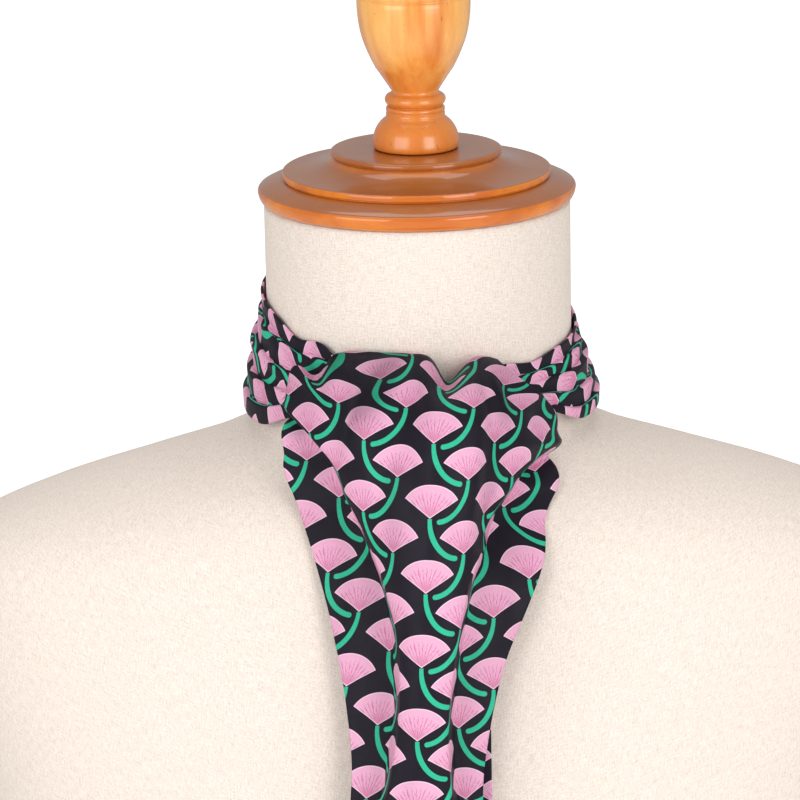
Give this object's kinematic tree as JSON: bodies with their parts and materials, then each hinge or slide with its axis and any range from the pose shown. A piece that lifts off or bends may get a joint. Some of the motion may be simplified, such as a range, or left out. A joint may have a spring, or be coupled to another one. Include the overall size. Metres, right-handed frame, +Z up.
{
  "type": "silk cravat on a limbless dress form",
  "caption": "Printed silk cravat tied round the neck of a limbless linen dress form with a turned wooden cap and finial.",
  "frame": {"origin": "on the axis of the form's neck, in the plane of its flat underside", "axes": "+Z up along the neck, -Y out of the form's chest, +X to the right of someone facing it"},
  "size_m": [0.3912, 0.2356, 0.691],
  "materials": {
    "linen": "matt cream linen in a fine plain weave",
    "lacquered_wood": "glossy clear lacquer over warm brown turned wood",
    "printed_silk": "soft silk sheen, near-black with a half-drop repeat of pink fan flowers on green stems"
  },
  "bodies": {
    "root": {"form_body": "linen", "neck_cap": "lacquered_wood", "finial": "lacquered_wood", "neck_band": "printed_silk", "crossing": "printed_silk", "under_blade": "printed_silk", "front_blade": "printed_silk"}
  },
  "joints": []
}
